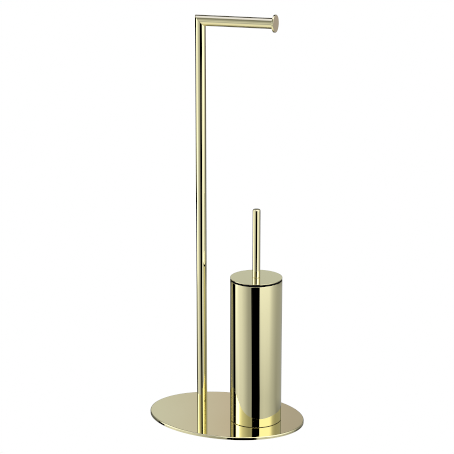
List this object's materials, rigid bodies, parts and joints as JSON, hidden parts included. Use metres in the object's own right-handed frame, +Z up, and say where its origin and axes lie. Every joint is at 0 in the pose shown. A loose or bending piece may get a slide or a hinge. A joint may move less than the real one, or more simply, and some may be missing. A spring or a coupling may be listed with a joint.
{
  "type": "toilet paper holder",
  "caption": "Free-standing toilet paper holder: oval base plate, mitred round post and roll arm with a disc end, and a cylindrical holder with a lift-out lidded toilet brush.",
  "frame": {"origin": "on the floor, under the middle of the oval base plate", "axes": "+Z up; +X along the roll arm, from the upright towards the end cap; +Y across the plate's width, towards the back in the usual view"},
  "size_m": [0.2812, 0.2034, 0.7171],
  "materials": {
    "polished_brass": "mirror polished",
    "stainless_steel": "turned",
    "black_rubber": "matt",
    "black_plastic": "moulded",
    "bristle_plastic": "bristles"
  },
  "bodies": {
    "stand": {"base_plate": "polished_brass", "pad_1": "black_rubber", "pad_2": "black_rubber", "pad_3": "black_rubber", "pad_4": "black_rubber", "pad_5": "black_rubber", "pad_6": "black_rubber", "upright_tube": "polished_brass", "post_plug": "stainless_steel", "post_screw": "stainless_steel", "arm_tube": "polished_brass", "end_cap": "polished_brass", "holder_shell": "polished_brass", "holder_floor": "stainless_steel", "holder_gasket": "black_rubber", "holder_screw_1": "stainless_steel", "holder_screw_2": "stainless_steel", "holder_screw_3": "stainless_steel", "holder_nut_1": "stainless_steel", "holder_nut_2": "stainless_steel", "holder_nut_3": "stainless_steel"},
    "liner": {"inner_cup": "black_plastic"},
    "brush": {"lid_disc": "polished_brass", "lid_ring": "black_plastic", "lid_washer": "stainless_steel", "lid_nut": "stainless_steel", "handle_rod": "polished_brass", "handle_insert": "stainless_steel", "brush_stem": "stainless_steel"},
    "brush_head": {"brush_core": "black_plastic", "bristles": "bristle_plastic"}
  },
  "joints": [
    {"name": "liner_lift", "type": "slide", "parent": "stand", "child": "liner", "axis": [0, 0, 1], "range_m": [0, 0.05]},
    {"name": "brush_lift", "type": "slide", "parent": "liner", "child": "brush", "axis": [0, 0, 1], "range_m": [0, 0.245]},
    {"name": "brush_head_turn", "type": "hinge", "parent": "brush", "child": "brush_head", "pos_m": [0.055, 0, 0.1], "axis": [0, 0, 1], "continuous": true}
  ]
}
